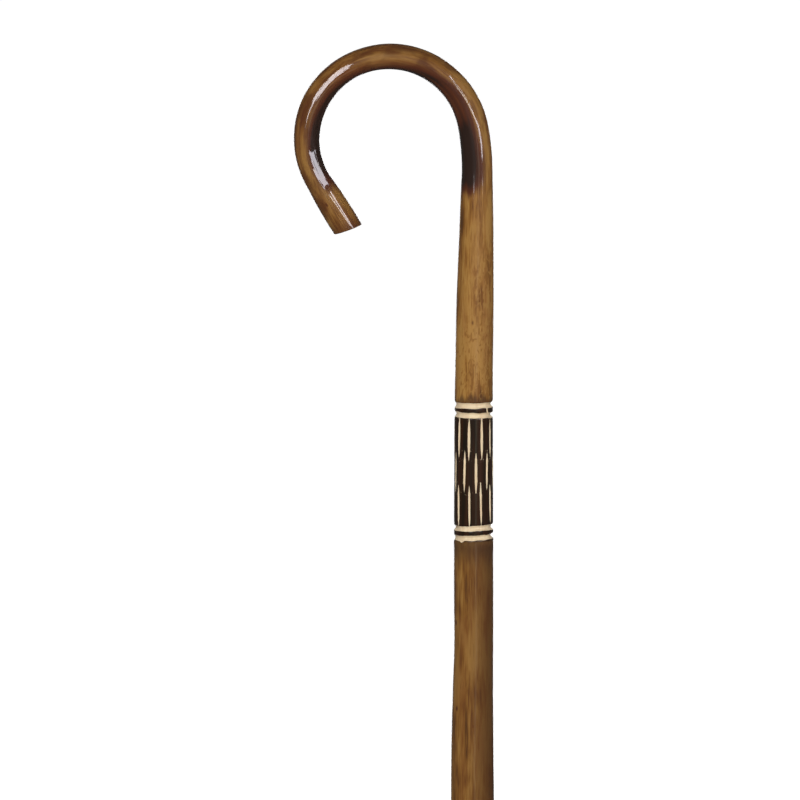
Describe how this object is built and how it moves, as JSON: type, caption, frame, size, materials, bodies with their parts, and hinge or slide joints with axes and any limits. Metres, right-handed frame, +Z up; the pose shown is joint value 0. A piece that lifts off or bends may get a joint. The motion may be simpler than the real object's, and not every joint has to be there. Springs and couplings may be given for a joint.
{
  "type": "walking cane",
  "caption": "Bent-wood walking cane with a crook handle, a carved and grooved band on the shaft, and a push-on rubber ferrule at its single foot.",
  "frame": {"origin": "centre of the ferrule's tread, on the ground", "axes": "+Z up the shaft from the foot to the crook; the crook bends over towards -X, in the XZ plane; +Y is square to the crook's plane"},
  "size_m": [0.1357, 0.039, 0.914],
  "materials": {
    "stained_wood": "gloss lacquer over brown stain, scorched inside the crook",
    "black_rubber": "matt moulded rubber",
    "zinc_steel": "zinc plated"
  },
  "bodies": {
    "stick": {"bent_wood_stick": "stained_wood"},
    "ferrule": {"rubber_ferrule": "black_rubber", "ferrule_washer": "zinc_steel"}
  },
  "joints": [
    {"name": "ferrule_pull", "type": "slide", "parent": "ferrule", "child": "stick", "axis": [0, 0, 1], "range_m": [0, 0.045]}
  ]
}
